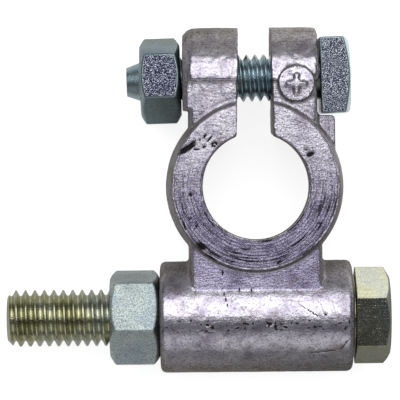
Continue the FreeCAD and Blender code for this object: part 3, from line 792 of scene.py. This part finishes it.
# The brown-grey of tarnish and painted shade, on steep walls and the ears' far edge.
tarnish_and_shade_tone = add_node(tree, "ShaderNodeValToRGB", links={"Fac": grains.outputs["Fac"]},
                        stops=[(0.34, "#554f4b"), (0.48, "#868079"), (0.62, "#aea7a1")])
tarnished_and_shaded = add_node(tree, "ShaderNodeMix", data_type="RGBA",
                     links={0: tarnish_and_painted_shade.outputs[0], 6: stained.outputs[2], 7: tarnish_and_shade_tone.outputs["Color"]})
# Dirt and painted shade take the lead nearly to black in the pits, round the disc and at the ring's foot.
lead_colour = add_node(tree, "ShaderNodeMix", data_type="RGBA", values={7: linear("#241f20")},
                       links={0: dirt_and_shade_mask.outputs[0], 6: tarnished_and_shaded.outputs[2]})

# %% The lead's shine
dull = add_node(tree, "ShaderNodeMath", operation="MAXIMUM", links={0: tarnish_and_painted_shade.outputs[0], 1: dirt_and_shade_mask.outputs[0]})
grain_shine = add_node(tree, "ShaderNodeMapRange",
                       values={"From Min": 0.3, "From Max": 0.7, "To Min": 0.32, "To Max": 0.15},
                       links={"Value": grains.outputs["Fac"]})
rough = add_node(tree, "ShaderNodeMapRange", values={"To Max": 0.55},
                 links={"Value": dull.outputs[0], "To Min": grain_shine.outputs[0]})
metallic = add_node(tree, "ShaderNodeMapRange", values={"To Min": 1.0, "To Max": 0.6},
                    links={"Value": dull.outputs[0]})

# %% The lead's fine relief
circles = add_node(tree, "ShaderNodeTexWave", wave_type="RINGS", rings_direction="Z",
                   values={"Scale": 0.314 * per_mm(RING_SPACING), "Distortion": 2.2, "Detail": 3.0,
                           "Detail Scale": 1.5, "Detail Roughness": 0.7},
                   links={"Vector": place})
cut_lines = add_node(tree, "ShaderNodeMath", operation="MULTIPLY_ADD", values={1: 0.45},
                     links={0: circles.outputs["Fac"], 2: streaks.outputs["Fac"]})
turned_marks = add_node(tree, "ShaderNodeMath", operation="MULTIPLY",
                        links={0: turned_share.outputs[0], 1: cut_lines.outputs[0]})
slanted = add_node(tree, "ShaderNodeMapping",
                   values={"Rotation": (0, 0, math.radians(-62)), "Scale": (0.16, 1.0, 1.0)},
                   links={"Vector": place})
scratches = add_node(tree, "ShaderNodeTexNoise", values={"Scale": per_mm(0.3), "Detail": 3.0, "Roughness": 0.6},
                     links={"Vector": slanted.outputs[0]})
relief = add_node(tree, "ShaderNodeMapRange", values={"To Min": 0.2}, links={"Value": flat.outputs[0]})
coarse = add_node(tree, "ShaderNodeBump", values={"Strength": 0.8, "Distance": 0.1 * MM},
                  links={"Height": clouds.outputs["Fac"]})
lumps = add_node(tree, "ShaderNodeTexNoise", values={"Scale": per_mm(0.9), "Detail": 2.0, "Roughness": 0.6},
                 links={"Vector": place})
lumpy = add_node(tree, "ShaderNodeBump", values={"Distance": 0.1 * MM},
                 links={"Strength": relief.outputs[0], "Height": lumps.outputs["Fac"], "Normal": coarse.outputs[0]})
rings = add_node(tree, "ShaderNodeBump", values={"Strength": 1.0, "Distance": 0.2 * MM},
                 links={"Height": turned_marks.outputs[0], "Normal": lumpy.outputs[0]})
scored = add_node(tree, "ShaderNodeBump", values={"Distance": 0.08 * MM},
                  links={"Strength": relief.outputs[0], "Height": scratches.outputs["Fac"],
                         "Normal": rings.outputs[0]})
cells = add_node(tree, "ShaderNodeBump", values={"Distance": 0.03 * MM},
                 links={"Strength": relief.outputs[0], "Height": crystals.outputs["Distance"],
                        "Normal": scored.outputs[0]})
fine = add_node(tree, "ShaderNodeBump", values={"Distance": 0.12 * MM},
                links={"Strength": relief.outputs[0], "Height": grains.outputs["Fac"], "Normal": cells.outputs[0]})
shader = add_node(tree, "ShaderNodeBsdfPrincipled",
                  links={"Base Color": lead_colour.outputs[2], "Metallic": metallic.outputs[0],
                         "Roughness": rough.outputs[0], "Normal": fine.outputs[0]})
tree.links.new(shader.outputs[0], output.inputs["Surface"])
dress(casting, lead)

# %% [markdown]
# ## Plated steel
#
# All four fasteners are zinc-plated steel, and a chromate bath has tinted the zinc. One recipe serves them all:
# three tints that drift over some millimetres, a frosty grain with dark specks, and lines drawn along the bar
# where it was rolled. Faces that look straight up also get a painted dark reflection, some more than others:
# a broken dark blue with white dots as painted glints.

# %% Zinc plating
def plated(name, tints, grain, relief, roughness, drawn=0.0, painted_dark_top=0.0, painted_dark_edge=0.5, speck=0.6):
    """Zinc plate under a chromate film.

    Grain and relief are in millimetres. Drawn is the strength of the lines along X, painted_dark_top that of a
    painted dark reflection on faces that look straight up, and speck that of the specks. That painted reflection is
    dark blue where the grain's noise lies under painted_dark_edge, and turns to white dots, painted glints, above
    it.
    """
    material, tree, output = new_material(name)
    spot = add_node(tree, "ShaderNodeTexCoord")
    place = spot.outputs["Object"]
    drift = add_node(tree, "ShaderNodeTexNoise", values={"Scale": per_mm(6.0), "Detail": 2.0, "Distortion": 0.25},
                     links={"Vector": place})
    frost = add_node(tree, "ShaderNodeTexNoise", values={"Scale": per_mm(grain), "Detail": 4.0, "Roughness": 0.72},
                     links={"Vector": place})
    stretched = add_node(tree, "ShaderNodeVectorMath", operation="MULTIPLY", values={1: (0.06, 1.0, 1.0)},
                         links={0: place})
    lines = add_node(tree, "ShaderNodeTexNoise", values={"Scale": per_mm(0.22), "Detail": 3.0},
                     links={"Vector": stretched.outputs[0]})
    tint = add_node(tree, "ShaderNodeValToRGB", links={"Fac": drift.outputs["Fac"]},
                    stops=[(0.34, tints[0]), (0.5, tints[1]), (0.64, tints[2])])
    facing = add_node(tree, "ShaderNodeSeparateXYZ", links={"Vector": spot.outputs["Normal"]})
    # Faces that look straight up get a painted dark reflection: dark blue, with white dots as painted glints.
    on_top = add_node(tree, "ShaderNodeMapRange", values={"From Min": 0.985, "From Max": 0.992, "To Max": painted_dark_top},
                      links={"Value": facing.outputs["Z"]})
    dots = add_node(tree, "ShaderNodeValToRGB", links={"Fac": frost.outputs["Fac"]},
                    stops=[(painted_dark_edge, "#161d38"), (painted_dark_edge + 0.07, "#6c7694"), (painted_dark_edge + 0.11, "#ffffff")])
    painted_top_tint = add_node(tree, "ShaderNodeMix", data_type="RGBA",
                      links={0: on_top.outputs[0], 6: tint.outputs["Color"], 7: dots.outputs["Color"]})
    specks = add_node(tree, "ShaderNodeValToRGB", links={"Fac": frost.outputs["Fac"]},
                      stops=[(0.36, 0.3), (0.46, 0.72), (0.56, 1.0)])
    colour = add_node(tree, "ShaderNodeMix", data_type="RGBA", blend_type="MULTIPLY", values={0: speck},
                      links={6: painted_top_tint.outputs[2], 7: specks.outputs["Color"]})
    shine = add_node(tree, "ShaderNodeMapRange",
                     values={"From Min": 0.3, "From Max": 0.7, "To Min": roughness * 1.35,
                             "To Max": roughness * 0.7},
                     links={"Value": frost.outputs["Fac"]})
    frosty = add_node(tree, "ShaderNodeBump", values={"Strength": 0.9, "Distance": relief * MM},
                      links={"Height": frost.outputs["Fac"]})
    ribbed = add_node(tree, "ShaderNodeBump", values={"Strength": drawn, "Distance": 0.05 * MM},
                      links={"Height": lines.outputs["Fac"], "Normal": frosty.outputs[0]})
    shader = add_node(tree, "ShaderNodeBsdfPrincipled", values={"Metallic": 1.0},
                      links={"Base Color": colour.outputs[2], "Roughness": shine.outputs[0],
                             "Normal": ribbed.outputs[0]})
    tree.links.new(shader.outputs[0], output.inputs["Surface"])
    return material


dress(stud_bolt,
      plated("yellow_chromate_on_zinc", ("#bdbd98", "#dadabb", "#cfd2c3"), grain=0.2, relief=0.02, roughness=0.08,
             drawn=0.7, painted_dark_top=0.5))
dress(stud_nut,
      plated("clear_chromate_on_zinc", ("#bccccb", "#dae6e4", "#c8d8df"), grain=0.28, relief=0.12, roughness=0.19,
             speck=0.7))
dress(clamp_bolt,
      plated("blue_chromate_on_zinc", ("#a2b8c4", "#b4c9d2", "#b0c2c6"), grain=0.15, relief=0.04, roughness=0.16,
             painted_dark_top=0.95, painted_dark_edge=0.48, speck=0.4))
dress(clamp_nut,
      plated("thick_blue_chromate_on_zinc", ("#94aab2", "#a8bbc0", "#a3b3b2"), grain=0.14, relief=0.05,
             roughness=0.2, painted_dark_top=1.0, painted_dark_edge=0.505, speck=0.9))
print("materials:", ", ".join(sorted(material.name for material in bpy.data.materials)))

# %% [markdown]
# ## Bodies
#
# Every piece rides on the body that carries it, and replaces its solid, which is hidden.

# %% Ride and replace
for piece, node, body, finish in (
    (casting, "clamp_casting", "casting", "cast_lead"),
    (stud_bolt, "stud_bolt", "stud_bolt", "yellow_zinc"),
    (stud_nut, "stud_nut", "stud_nut", "pale_zinc"),
    (clamp_bolt, "clamp_bolt", "clamp_bolt", "blue_zinc"),
    (clamp_nut, "clamp_nut", "clamp_nut", "blue_zinc"),
):
    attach(piece, body)
    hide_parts(node)
